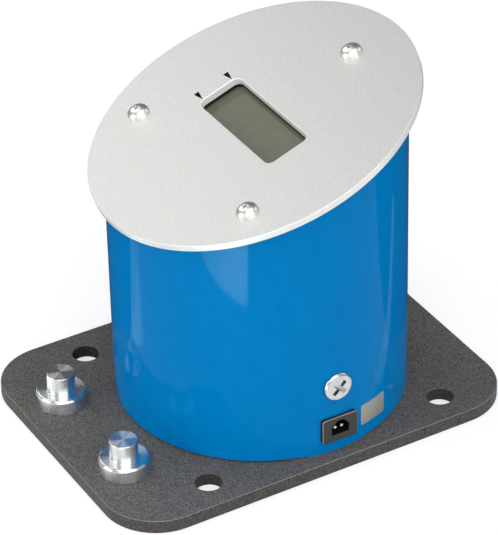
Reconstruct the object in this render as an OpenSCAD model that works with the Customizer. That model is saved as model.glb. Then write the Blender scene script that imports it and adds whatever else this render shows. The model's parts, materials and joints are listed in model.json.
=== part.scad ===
// Bench torque tester: a measuring shaft lies crosswise between two steel blocks, under a
// round hood with a sloping display, all on one flat base plate. Millimetres, +Z up.
// The origin is the middle of the plate's underside. The user stands at -Y, so -X is the
// left side, where a wrench is plugged in, and +X is the right side with the power inlet.

/* [Base plate] */
// Width of the base plate, left to right
plate_w = 132; // [128:1:150]
// Length of the base plate, front to back
plate_l = 178.5; // [172:0.5:210]
// Thickness of the base plate
plate_t = 6; // [5:0.5:10]
// Radius of the plate's corners
plate_corner_r = 23.5; // [10:0.5:28]
// Chamfer round the plate's upper edge
plate_chamfer = 0.6; // [0.3:0.1:1.5]
// Distance of the bench bolt holes from the plate's sides
bolt_edge = 14.5; // [13:0.5:16]
// Spacing of the bench bolt holes, front to back
bolt_spacing_y = 108; // [104:1:116]
// Diameter of the bench bolt holes
bolt_hole_d = 11; // [6.5:0.5:12]
// How far the hood's axis lies behind the middle of the plate
axis_y = 6; // [4:0.5:10]

/* [Adapter posts] */
// Distance between the two posts
post_spacing = 53.4; // [44:0.2:64]
// Diameter of a post's foot
post_foot_d = 20.7; // [17:0.1:23]
// Height of a post's foot
post_foot_h = 6.5; // [5:0.5:10]
// Diameter of a post's peg
post_peg_d = 11.5; // [9:0.1:13]
// Height of a post's peg above its foot
post_peg_h = 8; // [6:0.5:12]

/* [Hood] */
// Outer diameter of the hood
hood_d = 120; // [119:0.5:124]
// Wall of the hood
hood_wall = 2; // [1.5:0.25:2.5]
// Gap between the hood's rim and the plate
rim_gap = 0.8; // [0.4:0.1:1.5]
// Height of the sloping rim above the underside, on the hood's axis
seat_h = 125.5; // [122:0.5:140]
// Slope of the face, in degrees
face_tilt = 19.8; // [14:0.2:22]

/* [Face] */
// How far the face plate reaches past the hood at its sides
face_overhang = 5.75; // [4:0.25:7]
// Thickness of the face plate
face_t = 3; // [2:0.5:4]
// Width of the display window
window_w = 54.4; // [50:0.2:56]
// Height of the display window
window_h = 19.4; // [16:0.2:22]
// Radius of the window's corners
window_r = 3; // [1.5:0.5:5]

/* [Measuring shaft] */
// Height of the shaft's axis above the plate
shaft_rise = 31; // [30:0.5:34]
// Width across the flats of the square socket
drive_square = 19.2; // [12.8:0.1:20]
// Depth of the square socket
drive_depth = 26; // [18:1:30]
// Diameter of the drive hub
hub_d = 38; // [34:0.5:39]
// Length of the drive hub
hub_l = 38; // [36:0.5:39]
// Running clearance of the hub in its bush, on the radius
hub_running_gap = 0.04; // [0.02:0.01:0.08]
// Wall of the bush
bush_wall = 4; // [3:0.5:4.5]
// Length of the bush
bush_l = 20; // [16:0.5:22]
// Diameter of the twisting neck
neck_d = 22; // [16:0.5:24]
// Length of the twisting neck
neck_l = 40; // [38:0.5:41]
// Radius of the fillets at the ends of the neck
neck_fillet = 4; // [2:0.5:4]
// Thickness of the shaft's flange
flange_t = 12; // [10:0.5:13]
// Width of the shaft's square flange
flange_w = 50; // [46:0.5:54]

/* [Blocks] */
// Width of the two blocks, front to back
block_w = 66; // [62:1:68]
// Height of the two blocks
block_h = 70; // [67:1:74]
// Height of the left hood screw above the plate
left_screw_rise = 62; // [61:0.5:63]

/* [Power inlet] */
// Width of the inlet's frame
inlet_w = 16; // [14:0.5:17]
// Height of the inlet's frame
inlet_h = 11.4; // [10.8:0.2:12]
// Height of the inlet's middle above the plate
inlet_rise = 11.1; // [10:0.1:12]
// How far the inlet's middle lies behind the hood's axis
inlet_shift = 0.5; // [0:0.1:1]

/* [Rating label] */
// Width of the label along the hood
label_w = 14; // [10:0.5:16]
// Height of the label
label_h = 9.5; // [6:0.1:10]
// Where the label's middle lies round the hood, in degrees from the right
label_turn = 17.9; // [17.5:0.1:30]

/* [Hidden] */

// Number of sides on round shapes
$fn = 96;
// How far every cut runs past the face that it opens
overrun = 1;
// Clearance of a screw's thread in its tapped hole, on the radius
thread_gap = 0.05;
// Clearance between turned or bonded pieces that stay together, on the radius
seat_gap = 0.02;
// Depth of a cross recess, as a share of its head's height, and its slots as shares of the head
recess_depth_share = 0.6;
recess_length_share = 0.62;
recess_width_share = 0.15;
// Width across a hexagon's corners, as a share of its width across the flats
hexagon_share = 2 / sqrt(3);
// Diagonal of a square, as a share of its side
diagonal_share = sqrt(2);
// How much of a domed head's height is its dome
dome_share = 0.7;

// Hood
hood_r = hood_d / 2;
hood_inner_r = hood_r - hood_wall;
rim_z = plate_t + rim_gap;
shaft_z = plate_t + shaft_rise;
tongue_half_w = 12.3;
tongue_flank = 2.2;
lug_w = 12;
lug_h = 12;
lug_lead = 6;

// Face plate and its three screws, placed on the sloping seat from the hood's axis
face_screw_u = 42.8;
face_screw_low = 29.5;
face_screw_high = 47.9;
face_screw_places = [[-face_screw_u, -face_screw_low], [face_screw_u, -face_screw_low],
    [0, face_screw_high]];
face_screw_d = 5;
face_screw_l = 12;
face_screw_head_d = 9;
face_screw_head_h = 2.9;
face_screw_hole_d = 5.5;
face_half_w = hood_r + face_overhang;
face_slope_share = 1.057;
face_points = 144;
window_u = 0.1;
window_v = -0.15;

// Bench bolts, block screws and post screws. The posts' row stands in front of the hood, at
// that share of the free plate there
bolt_spacing_x = plate_w - 2 * bolt_edge;
block_screw_d = 8;
block_screw_head_d = 16;
block_screw_l = 18;
post_screw_d = 5;
post_screw_head_d = 10;
post_screw_l = 15;
post_row_share = 0.512;
post_y = axis_y - hood_r - post_row_share * (plate_l / 2 + axis_y - hood_r);
post_chamfer = 0.6;

// Blocks, turned on the back to the hood's inner radius
block_back_gap = 0.3;
block_back_r = hood_inner_r - block_back_gap;
block_side_x = sqrt(pow(block_back_r, 2) - pow(block_w / 2, 2));
block_screw_inset = 7.5;
block_screw_y = block_w / 2 - block_screw_inset;
block_chamfer = 2;

// Measuring shaft, from the left end of the hub to the right face of the flange
hub_inset = 0.4;
hub_x = hub_inset - sqrt(pow(hood_inner_r, 2) - pow(hub_d / 2, 2));
hub_chamfer = 1;
drive_lead_in = 1.2;
detent_bite = 1.4;
detent_r = drive_square / 2 + detent_bite;
detent_w = 4.5;
detent_depth = 11;
bush_setback = 4.4;
bush_x = hub_x + bush_setback;
bush_r = hub_d / 2 + hub_running_gap + bush_wall;
bearing_x = bush_x + bush_l;
neck_x = hub_x + hub_l;
flange_x = neck_x + neck_l;
reaction_x = flange_x + flange_t;
drive_opening_gap = 2;
flange_corner_reach = 7;
flange_corner_r = flange_w / 2 + flange_corner_reach;
flange_screw_offset = 16;
flange_screw_d = 8;
flange_screw_head_d = 13;
flange_screw_head_h = 8;
flange_screw_key = 6;
flange_screw_key_depth = 4;
flange_screw_hole_d = 9;
flange_screw_bite = 14;
washer_d = 14;
washer_t = 1.6;

// Strain gauges and their terminal, on the middle of the neck
gauge_t = 0.2;
gauge_w = 7;
gauge_l = 10;
gauge_turns = [-90, 0, 90, 180];
terminal_l = 12;
terminal_w = 7;
terminal_t = 1.6;
terminal_gap = 0.3;

// Hood screws
hood_screw_d = 6;
hood_screw_l = 15;
hood_screw_head_d = 12.6;
hood_screw_head_h = 2;
hood_screw_hole_d = 6.6;
left_screw_z = plate_t + left_screw_rise;

// Display, counted down from the back of the face plate
bezel_lip = 1.5;
bezel_wall = 1.8;
bezel_gap = 0.2;
glass_lap = 1.8;
glass_w = window_w + 2 * glass_lap;
glass_h = 30.5;
glass_t = 1.1;
rear_glass_h = 24.5;
reflector_t = 0.3;
strip_w = 2.2;
strip_inset = 2;
strip_l = glass_w - 2 * strip_inset;
board_drop = 6;
board_t = 1.6;
board_lug_gap = 3.8;
board_w = 2 * (face_screw_u - lug_lead - board_lug_gap);
board_h = 54;
spacer_edge = 4;
spacer_u = board_w / 2 - spacer_edge;
spacer_v = board_h / 2 - spacer_edge;
spacer_flats = 6;
spacer_floor = 1.5;
board_screw_d = 3;
board_screw_l = 5.5;
board_screw_head_d = 5.6;
board_screw_head_h = 2.2;
board_hole_d = 3.4;
board_under = board_drop + board_t;

// Components on the back of the board
chip_w = 14;
chip_t = 1.8;
chip_leg_w = 17;
chip_leg_t = 0.5;
chip_leg_row_w = 12.6;
chip_place = [-12, 6];
amplifier_w = 5;
amplifier_l = 9;
amplifier_t = 1.8;
amplifier_places = [[6, 14], [14, 14]];
capacitor_d = 8;
capacitor_h = 11;
capacitor_foot_h = 1;
capacitor_groove = 0.5;
capacitor_groove_h = 1;
capacitor_places = [[22, 2], [22, -10]];
regulator_w = 10;
regulator_l = 9;
regulator_t = 4.5;
regulator_tab_l = 6;
regulator_tab_t = 1.3;
regulator_hole_d = 3.6;
regulator_place = [5, -13];
header_w = 10;
header_l = 6;
header_h = 7;
header_rib = 1;
gauge_header_place = [-22, -14];
power_header_place = [24, 14];

// Power inlet in its cut-out of the hood
inlet_z = plate_t + inlet_rise;
inlet_proud = 1.6;
inlet_bevel = 0.5;
inlet_flange_w = 1.5;
inlet_flange_h = 0.9;
inlet_body_w = inlet_w - 2 * inlet_flange_w;
inlet_body_h = inlet_h - 2 * inlet_flange_h;
inlet_body_back = 11;
inlet_body_x = hood_r - inlet_body_back;
inlet_cut_gap = 0.25;
cavity_w = 8;
cavity_h = 6.4;
cavity_rise = 0.8;
cavity_shoulder = 2.6;
cavity_depth = 6.5;
contact_d = 1.2;
contact_pitch = 3;
contact_recess = 1.6;
contact_tail = 2.5;

// Pocket and lead channel milled into the reaction block
pocket_half_w = 13;
pocket_h = 20;
pocket_front_wall = 3.4;
channel_y = 9;
channel_w = 5.6;
channel_depth = 8;

// Label
label_t = 0.15;
label_z = inlet_z;

// Leads: thickness, sides, steps between two points, a direction that neither route takes,
// and the routes, from the inlet up the channel and from the gauges over the hub
lead_d = 2.6;
lead_sides = 8;
lead_steps = 3;
lead_side = [0.25, 1, 0.1];
lead_approach = 8;
lead_gap = 0.2;
contact_end_x = inlet_body_x - contact_tail;
slope_up = [0, cos(face_tilt), sin(face_tilt)];
slope_out = [0, -sin(face_tilt), cos(face_tilt)];
function under_board_point(place, depth) = [window_u + place.x, 0, seat_h]
    + (window_v + place.y) * slope_up - (board_under + depth) * slope_out;
power_lead_end = under_board_point(power_header_place, header_h + lead_gap);
gauge_lead_end = under_board_point(gauge_header_place, header_h + lead_gap);
terminal_top_z = shaft_z + neck_d / 2 + gauge_t + terminal_gap + terminal_t;
terminal_x = flange_x - neck_l / 2 - terminal_l / 2;
power_route = concat([for (x = [lead_gap, lead_d / 2, lead_d])
        [contact_end_x - x, inlet_shift, inlet_z]],
    [[42, 3, 19], [43, 7.5, 20.5], [47, 9, 21], [51.5, 9, 23.5], [53.6, 9, 31],
    [53.6, 9, 45], [53.6, 9, 64], [53, 9, 76], [46, 10, 87], [34, 11, 94]],
    [for (h = [lead_approach, lead_d, 0]) power_lead_end - h * slope_out]);
gauge_route = concat([for (x = [terminal_l / 2, 0]) [terminal_x + x, 0, terminal_top_z
    + lead_d / 2 + lead_gap]], [[-7, 0, 55], [-12, 0, 62], [-18, -1, 75], [-21, -3, 87]],
    [for (h = [lead_approach, lead_d, 0]) gauge_lead_end - h * slope_out]);

function unit(v) = v / norm(v);
function bend(p, i, t) = let (a = p[max(i - 1, 0)], b = p[i], c = p[i + 1],
        d = p[min(i + 2, len(p) - 1)])
    0.5 * (2 * b + (c - a) * t + (2 * a - 5 * b + 4 * c - d) * t * t
        + (3 * b - a - 3 * c + d) * t * t * t);
function smooth_route(p) = [for (i = [0:len(p) - 2]) for (s = [0:lead_steps - 1])
    bend(p, i, s / lead_steps), p[len(p) - 1]];
function heading(p, i) = unit(p[min(i + 1, len(p) - 1)] - p[max(i - 1, 0)]);

// One lead swept along a route
module lead(route) {
    p = smooth_route(route);
    n = lead_sides;
    rings = [for (i = [0:len(p) - 1]) let (t = heading(p, i), u = unit(cross(t, lead_side)),
            v = cross(t, u)) for (k = [0:n - 1])
        p[i] + lead_d / 2 * (cos(360 * k / n) * u + sin(360 * k / n) * v)];
    sides = [for (i = [0:len(p) - 2]) for (k = [0:n - 1]) let (m = (k + 1) % n)
        each [[i * n + k, (i + 1) * n + k, (i + 1) * n + m],
            [i * n + k, (i + 1) * n + m, i * n + m]]];
    last = len(rings) - 1;
    polyhedron(points = rings, faces = concat([[for (k = [0:n - 1]) k]], sides,
        [[for (k = [0:n - 1]) last - k]]));
}

// Puts its children on the hood's upright axis
module at_axis() {
    translate([0, axis_y, 0]) children();
}

// Puts its children on the sloping seat: X to the right, Y up the slope, Z out of the face
module at_face() {
    at_axis() translate([0, 0, seat_h]) rotate([face_tilt, 0, 0]) children();
}

// Puts its children on the back of the board, with Z pointing away from the face
module under_board() {
    at_face() translate([window_u, window_v, -board_under]) mirror([0, 0, 1]) children();
}

// Lays an upright shape down along the measuring shaft, with its foot at x
module along_shaft(x) {
    at_axis() translate([x, 0, shaft_z]) rotate([0, 90, 0]) children();
}

// A flat shape with four round corners, centred
module rounded_rectangle(w, h, r) {
    square([w - 2 * r, h], center = true);
    square([w, h - 2 * r], center = true);
    for (x = [-1, 1]) for (y = [-1, 1]) translate([x * (w / 2 - r), y * (h / 2 - r)])
        circle(r);
}

// A countersunk screw pointing up, its head flush with z = 0
module countersunk_screw(d, head_d, l) {
    cylinder(d1 = head_d, d2 = d, h = (head_d - d) / 2);
    cylinder(d = d, h = l);
}

// The hole for that screw, through the plate
module countersunk_hole(d, head_d) {
    translate([0, 0, -overrun]) cylinder(d = d + 2 * thread_gap, h = plate_t + 2 * overrun);
    cylinder(d1 = head_d + 2 * thread_gap, d2 = d + 2 * thread_gap, h = (head_d - d) / 2);
    translate([0, 0, -overrun]) cylinder(d = head_d + 2 * thread_gap, h = overrun);
}

// A domed screw with a cross recess, its head on z = 0 and its shank below
module domed_screw(d, l, head_d, head_h) {
    dome_h = head_h * dome_share;
    dome_r = (pow(head_d / 2, 2) + pow(dome_h, 2)) / (2 * dome_h);
    recess_l = head_d * recess_length_share;
    recess_w = head_d * recess_width_share;
    difference() {
        intersection() {
            cylinder(d = head_d, h = head_h);
            translate([0, 0, head_h - dome_r]) sphere(dome_r);
        }
        translate([0, 0, head_h * (1 - recess_depth_share)]) for (a = [0, 90])
            rotate([0, 0, a]) translate([-recess_l / 2, -recess_w / 2, 0])
                cube([recess_l, recess_w, head_h]);
    }
    translate([0, 0, -l]) cylinder(d = d, h = l);
}

// The places of the four screws that hold the blocks
module at_block_screws() {
    for (side = [-1, 1]) at_axis() {
        translate([(reaction_x + block_side_x) / 2, side * block_screw_y, 0]) children();
        translate([(bearing_x - block_side_x) / 2, side * block_screw_y, 0]) children();
    }
}

// Cuts a chamfer round the upper edge of the plate
module plate_edge_cut() {
    c = plate_chamfer;
    r = plate_corner_r;
    for (turn = [0, 180]) rotate([0, 0, turn]) {
        translate([plate_w / 2, 0, plate_t]) rotate([0, 45, 0])
            cube([c * diagonal_share, plate_l - 2 * r, c * diagonal_share], center = true);
        translate([0, plate_l / 2, plate_t]) rotate([45, 0, 0])
            cube([plate_w - 2 * r, c * diagonal_share, c * diagonal_share], center = true);
    }
    for (x = [-1, 1]) for (y = [-1, 1])
        translate([x * (plate_w / 2 - r), y * (plate_l / 2 - r), plate_t - c])
            intersection() {
                difference() {
                    cylinder(r = r + overrun, h = c + overrun);
                    cylinder(r1 = r, r2 = r - c, h = c);
                    translate([0, 0, c]) cylinder(r = r - c, h = overrun);
                }
                scale([x, y, 1]) cube([r + overrun, r + overrun, c + overrun]);
            }
}

module base_plate() {
    color("#3d3d3b") difference() {
        linear_extrude(plate_t) rounded_rectangle(plate_w, plate_l, plate_corner_r);
        plate_edge_cut();
        at_axis() for (x = [-1, 1]) for (y = [-1, 1])
            translate([x * bolt_spacing_x / 2, y * bolt_spacing_y / 2, -overrun])
                cylinder(d = bolt_hole_d, h = plate_t + 2 * overrun);
        at_block_screws() countersunk_hole(block_screw_d, block_screw_head_d);
        for (x = [-1, 1]) translate([x * post_spacing / 2, post_y, 0])
            countersunk_hole(post_screw_d, post_screw_head_d);
    }
}

// One stepped post, turned from bar and tapped from below
module adapter_post(x) {
    color("#cfd2d4") translate([x, post_y, plate_t]) difference() {
        union() {
            cylinder(d = post_foot_d, h = post_foot_h - post_chamfer);
            translate([0, 0, post_foot_h - post_chamfer]) cylinder(d1 = post_foot_d,
                d2 = post_foot_d - 2 * post_chamfer, h = post_chamfer);
            cylinder(d = post_peg_d, h = post_foot_h + post_peg_h - post_chamfer);
            translate([0, 0, post_foot_h + post_peg_h - post_chamfer]) cylinder(
                d1 = post_peg_d, d2 = post_peg_d - 2 * post_chamfer, h = post_chamfer);
        }
        translate([0, 0, -overrun]) cylinder(d = post_screw_d + 2 * thread_gap,
            h = post_screw_l - plate_t + 2 * overrun);
    }
}

module left_adapter_post() {
    adapter_post(-post_spacing / 2);
}

module right_adapter_post() {
    adapter_post(post_spacing / 2);
}

module post_screws() {
    color("#8d9094") for (x = [-1, 1]) translate([x * post_spacing / 2, post_y, 0])
        countersunk_screw(post_screw_d, post_screw_head_d, post_screw_l);
}

// A block from x outwards to the right, its back turned to fit the hood, tapped from below
module block_blank(x) {
    difference() {
        intersection() {
            translate([x, -block_w / 2, plate_t]) cube([hood_r, block_w, block_h]);
            union() {
                translate([0, 0, plate_t])
                    cylinder(r = block_back_r, h = block_h - block_chamfer);
                translate([0, 0, plate_t + block_h - block_chamfer]) cylinder(
                    r1 = block_back_r, r2 = block_back_r - block_chamfer, h = block_chamfer);
            }
        }
        for (side = [-1, 1]) translate([(x + block_side_x) / 2, side * block_screw_y, 0])
            cylinder(d = block_screw_d + 2 * thread_gap, h = block_screw_l + overrun);
    }
}

module bearing_block() {
    color("#5c6066") difference() {
        at_axis() mirror([1, 0, 0]) block_blank(-bearing_x);
        along_shaft(-hood_r) cylinder(r = bush_r + seat_gap, h = hood_r);
        at_axis() translate([-hood_r, 0, left_screw_z]) rotate([0, 90, 0])
            cylinder(d = hood_screw_d + 2 * thread_gap, h = hood_screw_l + overrun);
    }
}

module reaction_block() {
    pocket_x = reaction_x + pocket_front_wall;
    color("#5c6066") difference() {
        at_axis() block_blank(reaction_x);
        at_axis() translate([pocket_x, -pocket_half_w, plate_t - overrun])
            cube([hood_r, 2 * pocket_half_w, pocket_h + overrun]);
        at_axis() translate([block_back_r - channel_depth, channel_y - channel_w / 2, plate_t])
            cube([hood_r, channel_w, block_h + overrun]);
        along_shaft(reaction_x - overrun) flange_screw_places()
            cylinder(d = flange_screw_d + 2 * thread_gap, h = flange_screw_bite + 2 * overrun);
        along_shaft(hood_r - hood_screw_l - overrun)
            cylinder(d = hood_screw_d + 2 * thread_gap, h = hood_screw_l + overrun);
    }
}

module block_screws() {
    color("#8d9094") at_block_screws()
        countersunk_screw(block_screw_d, block_screw_head_d, block_screw_l);
}

// The four corners of the flange, seen along the shaft
module flange_screw_places() {
    for (a = [-1, 1]) for (b = [-1, 1])
        translate([a * flange_screw_offset, b * flange_screw_offset, 0]) children();
}

module measuring_flange() {
    color("#9aa0a6") along_shaft(flange_x) difference() {
        intersection() {
            translate([-flange_w / 2, -flange_w / 2, 0]) cube([flange_w, flange_w, flange_t]);
            cylinder(r = flange_corner_r, h = flange_t);
        }
        flange_screw_places() translate([0, 0, -overrun])
            cylinder(d = flange_screw_hole_d, h = flange_t + 2 * overrun);
    }
}

module flange_washers() {
    color("#b9bcc0") along_shaft(flange_x - washer_t) flange_screw_places() difference() {
        cylinder(d = washer_d, h = washer_t);
        translate([0, 0, -overrun]) cylinder(d = flange_screw_d + 2 * thread_gap,
            h = washer_t + 2 * overrun);
    }
}

module flange_screws() {
    color("#3a3c40") along_shaft(flange_x - washer_t - flange_screw_head_h)
        flange_screw_places() difference() {
            union() {
                cylinder(d = flange_screw_head_d, h = flange_screw_head_h);
                cylinder(d = flange_screw_d, h = flange_screw_head_h + washer_t + flange_t
                    + flange_screw_bite);
            }
            translate([0, 0, -overrun]) cylinder(d = flange_screw_key * hexagon_share,
                h = flange_screw_key_depth + overrun, $fn = 6);
        }
}

module measuring_neck() {
    r = neck_d / 2;
    f = neck_fillet;
    color("#a9adb2") along_shaft(neck_x) rotate_extrude() difference() {
        square([r + f, neck_l]);
        translate([r + f, f]) circle(f);
        translate([r + f, neck_l - f]) circle(f);
        translate([r, f]) square([2 * f, neck_l - 2 * f]);
    }
}

// Four foils bonded round the neck
module strain_gauges() {
    r = neck_d / 2;
    color("#c98a3c") along_shaft(neck_x + neck_l / 2 - gauge_l / 2) for (turn = gauge_turns)
        rotate([0, 0, turn]) intersection() {
            difference() {
                cylinder(r = r + seat_gap + gauge_t, h = gauge_l);
                translate([0, 0, -overrun])
                    cylinder(r = r + seat_gap, h = gauge_l + 2 * overrun);
            }
            translate([0, -gauge_w / 2, 0]) cube([neck_d, gauge_w, gauge_l]);
        }
}

// A small solder board glued over the upper foil
module gauge_terminal() {
    color("#2f6b3a") at_axis() translate([terminal_x, -terminal_w / 2,
        terminal_top_z - terminal_t]) cube([terminal_l, terminal_w, terminal_t]);
}

// The turning hub with its broached square and the groove for a wrench's detent ball
module drive_hub() {
    mouth_r = drive_square * diagonal_share / 2;
    color("#b4b8bc") along_shaft(hub_x) difference() {
        union() {
            cylinder(d1 = hub_d - 2 * hub_chamfer, d2 = hub_d, h = hub_chamfer);
            translate([0, 0, hub_chamfer]) cylinder(d = hub_d, h = hub_l - 2 * hub_chamfer);
            translate([0, 0, hub_l - hub_chamfer])
                cylinder(d1 = hub_d, d2 = hub_d - 2 * hub_chamfer, h = hub_chamfer);
        }
        translate([-drive_square / 2, -drive_square / 2, -overrun])
            cube([drive_square, drive_square, drive_depth + overrun]);
        translate([0, 0, -seat_gap]) cylinder(r1 = mouth_r + seat_gap,
            r2 = mouth_r - drive_lead_in, h = drive_lead_in + seat_gap);
        translate([0, 0, detent_depth]) cylinder(r = detent_r, h = detent_w);
    }
}

module hub_bush() {
    color("#b07a3a") along_shaft(bush_x) difference() {
        cylinder(r = bush_r, h = bush_l);
        translate([0, 0, -overrun]) cylinder(d = hub_d + 2 * hub_running_gap,
            h = bush_l + 2 * overrun);
    }
}

// The tongue at the hood's rim, under the inlet, seen from the right
module tongue_outline() {
    polygon([[-tongue_half_w, 0], [tongue_half_w, 0],
        [tongue_half_w + tongue_flank, rim_gap], [tongue_half_w + tongue_flank, 2 * rim_gap],
        [-tongue_half_w - tongue_flank, 2 * rim_gap], [-tongue_half_w - tongue_flank, rim_gap]]);
}

module hood() {
    color("#0a70bb") difference() {
        at_axis() union() {
            difference() {
                translate([0, 0, rim_z]) cylinder(r = hood_r, h = 2 * seat_h);
                cylinder(r = hood_inner_r, h = 3 * seat_h);
            }
            intersection() {
                translate([hood_inner_r - hood_wall, 0, plate_t]) rotate([90, 0, 90])
                    linear_extrude(3 * hood_wall) tongue_outline();
                difference() {
                    cylinder(r = hood_r, h = seat_h);
                    translate([0, 0, -overrun])
                        cylinder(r = hood_inner_r, h = seat_h + 2 * overrun);
                }
            }
        }
        at_face() translate([-hood_d, -hood_d, 0]) cube([2 * hood_d, 2 * hood_d, 3 * seat_h]);
        along_shaft(-hood_d) cylinder(r = hub_d / 2 + drive_opening_gap, h = hood_d);
        along_shaft(0) cylinder(d = hood_screw_hole_d, h = hood_d);
        at_axis() translate([-hood_d, 0, left_screw_z]) rotate([0, 90, 0])
            cylinder(d = hood_screw_hole_d, h = hood_d);
        at_axis() translate([0, inlet_shift - inlet_body_w / 2 - inlet_cut_gap,
            inlet_z - inlet_body_h / 2 - inlet_cut_gap])
            cube([hood_d, inlet_body_w + 2 * inlet_cut_gap, inlet_body_h + 2 * inlet_cut_gap]);
    }
}

// Three lugs welded inside the hood's rim, tapped for the face screws
module face_lugs() {
    color("#0a5f9f") for (p = face_screw_places) difference() {
        intersection() {
            at_face() translate([p.x, p.y, -lug_h]) rotate([0, 0, atan2(p.y, p.x)])
                translate([-lug_lead, -lug_w / 2, 0]) cube([hood_r, lug_w, lug_h]);
            at_axis() cylinder(r = hood_inner_r - seat_gap, h = 2 * seat_h);
        }
        at_face() translate([p.x, p.y, -face_screw_l]) cylinder(
            d = face_screw_d + 2 * thread_gap, h = face_screw_l + overrun);
    }
}

module hood_screws() {
    color("#c9cccf") {
        along_shaft(hood_r) domed_screw(hood_screw_d, hood_screw_l, hood_screw_head_d,
            hood_screw_head_h);
        at_axis() translate([-hood_r, 0, left_screw_z]) rotate([0, -90, 0])
            domed_screw(hood_screw_d, hood_screw_l, hood_screw_head_d, hood_screw_head_h);
    }
}

module face_plate() {
    slope = face_half_w * face_slope_share;
    color("#d0d1cf") at_face() difference() {
        linear_extrude(face_t) polygon([for (i = [0:face_points - 1])
            [face_half_w * cos(360 * i / face_points), slope * sin(360 * i / face_points)]]);
        translate([window_u, window_v, -overrun]) linear_extrude(face_t + 2 * overrun)
            rounded_rectangle(window_w, window_h, window_r);
        for (p = face_screw_places) translate([p.x, p.y, -overrun])
            cylinder(d = face_screw_hole_d, h = face_t + 2 * overrun);
    }
}

module face_screws() {
    color("#d7d9db") for (p = face_screw_places) at_face() translate([p.x, p.y, face_t])
        domed_screw(face_screw_d, face_screw_l, face_screw_head_d, face_screw_head_h);
}

// Puts its children behind the window, with Z out of the face
module at_window(depth) {
    at_face() translate([window_u, window_v, -depth]) children();
}

// Black frame that clamps the display against the face plate
module lcd_bezel() {
    inner_w = glass_w + 2 * bezel_gap;
    inner_h = glass_h + 2 * bezel_gap;
    color("#1c1c1c") at_window(board_drop) difference() {
        linear_extrude(board_drop) square([inner_w + 2 * bezel_wall, inner_h + 2 * bezel_wall],
            center = true);
        translate([0, 0, -overrun]) linear_extrude(board_drop - bezel_lip + overrun)
            square([inner_w, inner_h], center = true);
        linear_extrude(board_drop + overrun) rounded_rectangle(window_w, window_h, window_r);
    }
}

module lcd_front_glass() {
    color("#707464") at_window(bezel_lip + glass_t) linear_extrude(glass_t)
        square([glass_w, glass_h], center = true);
}

module lcd_rear_glass() {
    color("#6a6e5f") at_window(bezel_lip + 2 * glass_t) linear_extrude(glass_t)
        square([glass_w, rear_glass_h], center = true);
}

module lcd_reflector() {
    color("#a3a69c") at_window(bezel_lip + 2 * glass_t + reflector_t)
        linear_extrude(reflector_t) square([glass_w, rear_glass_h], center = true);
}

// Two rubber strips that press the display's contacts onto the board
module contact_strips() {
    strip_y = (glass_h - strip_w) / 2;
    color("#c77b86") at_window(board_drop) for (side = [-1, 1])
        translate([-strip_l / 2, side * strip_y - strip_w / 2, 0])
            cube([strip_l, strip_w, board_drop - bezel_lip - glass_t]);
}

module at_spacers() {
    for (x = [-1, 1]) for (y = [-1, 1]) translate([x * spacer_u, y * spacer_v, 0]) children();
}

module display_board() {
    color("#1f5c34") at_window(board_under) difference() {
        linear_extrude(board_t) square([board_w, board_h], center = true);
        at_spacers() translate([0, 0, -overrun])
            cylinder(d = board_hole_d, h = board_t + 2 * overrun);
    }
}

module board_spacers() {
    color("#c7b06a") at_window(board_drop) at_spacers() difference() {
        cylinder(d = spacer_flats * hexagon_share, h = board_drop, $fn = 6);
        translate([0, 0, -overrun]) cylinder(d = board_screw_d + 2 * thread_gap,
            h = board_drop - spacer_floor + overrun);
    }
}

module board_screws() {
    color("#c9cccf") at_window(board_under) at_spacers() {
        translate([0, 0, -board_screw_head_h])
            cylinder(d = board_screw_head_d, h = board_screw_head_h);
        cylinder(d = board_screw_d, h = board_screw_l);
    }
}

module processor_chip() {
    color("#222326") under_board() translate([chip_place.x, chip_place.y, 0]) {
        translate([-chip_w / 2, -chip_w / 2, 0]) cube([chip_w, chip_w, chip_t]);
        translate([-chip_leg_w / 2, -chip_leg_row_w / 2, 0])
            cube([chip_leg_w, chip_leg_row_w, chip_leg_t]);
        translate([-chip_leg_row_w / 2, -chip_leg_w / 2, 0])
            cube([chip_leg_row_w, chip_leg_w, chip_leg_t]);
    }
}

module amplifier_chips() {
    color("#26272a") under_board() for (p = amplifier_places)
        translate([p.x - amplifier_w / 2, p.y - amplifier_l / 2, 0])
            cube([amplifier_w, amplifier_l, amplifier_t]);
}

// Electrolytic cans with the groove that their sleeve is crimped into
module smoothing_capacitors() {
    sleeve_z = capacitor_foot_h + capacitor_groove_h;
    color("#2a3b6b") under_board() for (p = capacitor_places) translate([p.x, p.y, 0]) {
        cylinder(d = capacitor_d, h = capacitor_foot_h);
        cylinder(d = capacitor_d - 2 * capacitor_groove, h = sleeve_z);
        translate([0, 0, sleeve_z]) cylinder(d = capacitor_d, h = capacitor_h - sleeve_z);
    }
}

// A regulator in an upright case, with its cooling tab
module voltage_regulator() {
    color("#1d1e20") under_board()
        translate([regulator_place.x - regulator_w / 2, regulator_place.y, 0]) difference() {
            union() {
                cube([regulator_w, regulator_t, regulator_l]);
                cube([regulator_w, regulator_tab_t, regulator_l + regulator_tab_l]);
            }
            translate([regulator_w / 2, -overrun, regulator_l + regulator_tab_l / 2])
                rotate([-90, 0, 0])
                    cylinder(d = regulator_hole_d, h = regulator_tab_t + 2 * overrun);
        }
}

// Plugs on the board, each with two ribs, that the leads run into
module lead_headers() {
    color("#e6e2d3") under_board() for (p = [gauge_header_place, power_header_place])
        translate([p.x, p.y, 0]) {
            translate([-header_w / 2, -header_l / 2, 0]) cube([header_w, header_l, header_h]);
            for (side = [-1, 1]) translate([side * header_w / 4 - header_rib / 2,
                -header_l / 2 - header_rib, 0])
                cube([header_rib, header_l + 2 * header_rib, header_h / 2]);
        }
}

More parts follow.
